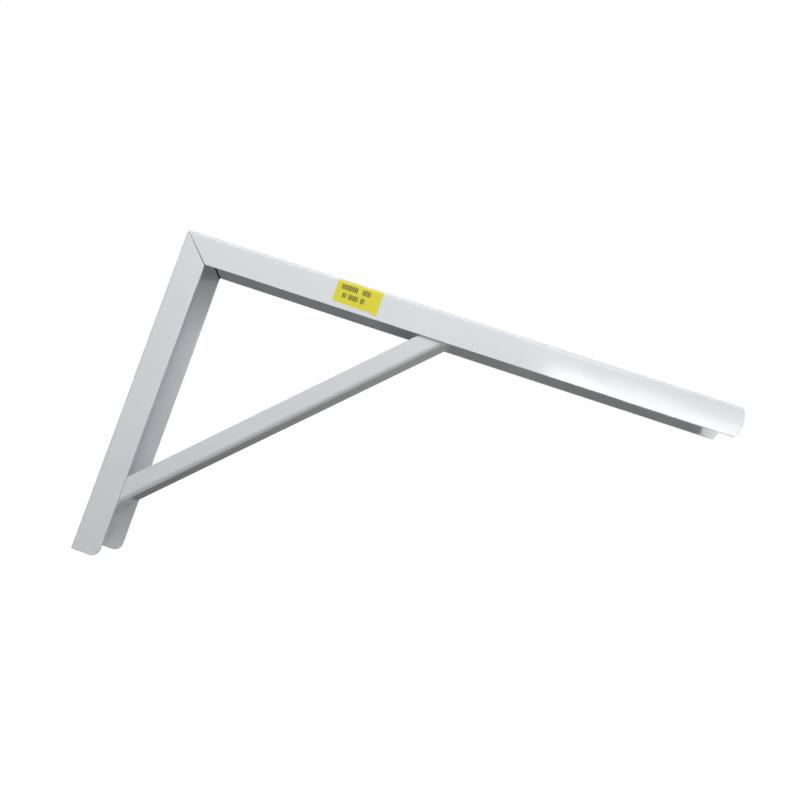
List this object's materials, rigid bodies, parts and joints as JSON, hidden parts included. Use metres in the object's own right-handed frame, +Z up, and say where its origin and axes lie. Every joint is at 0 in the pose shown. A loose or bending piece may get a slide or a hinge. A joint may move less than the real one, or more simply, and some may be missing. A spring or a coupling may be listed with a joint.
{
  "type": "shelf bracket",
  "caption": "Rigid welded steel shelf bracket: a white folded channel with a long shelf arm and a shorter wall arm, braced by a diagonal channel strut.",
  "frame": {"origin": "middle screw hole of the wall arm, on the wall plane, midway across the channel", "axes": "+X out from the wall along the shelf arm, +Z up towards the shelf, Y across the channel"},
  "size_m": [0.5034, 0.0451, 0.3],
  "materials": {
    "frame_powder_coat": "gloss white powder coat on folded steel sheet",
    "strut_powder_coat": "gloss white powder coat on folded steel sheet",
    "weld_powder_coat": "gloss white powder coat over weld beads",
    "label_film": "bare yellow adhesive film, satin"
  },
  "bodies": {
    "root": {"channel_frame": "frame_powder_coat", "strut": "strut_powder_coat", "strut_foot_welds": "weld_powder_coat", "strut_head_welds": "weld_powder_coat", "load_label": "label_film"}
  },
  "joints": []
}
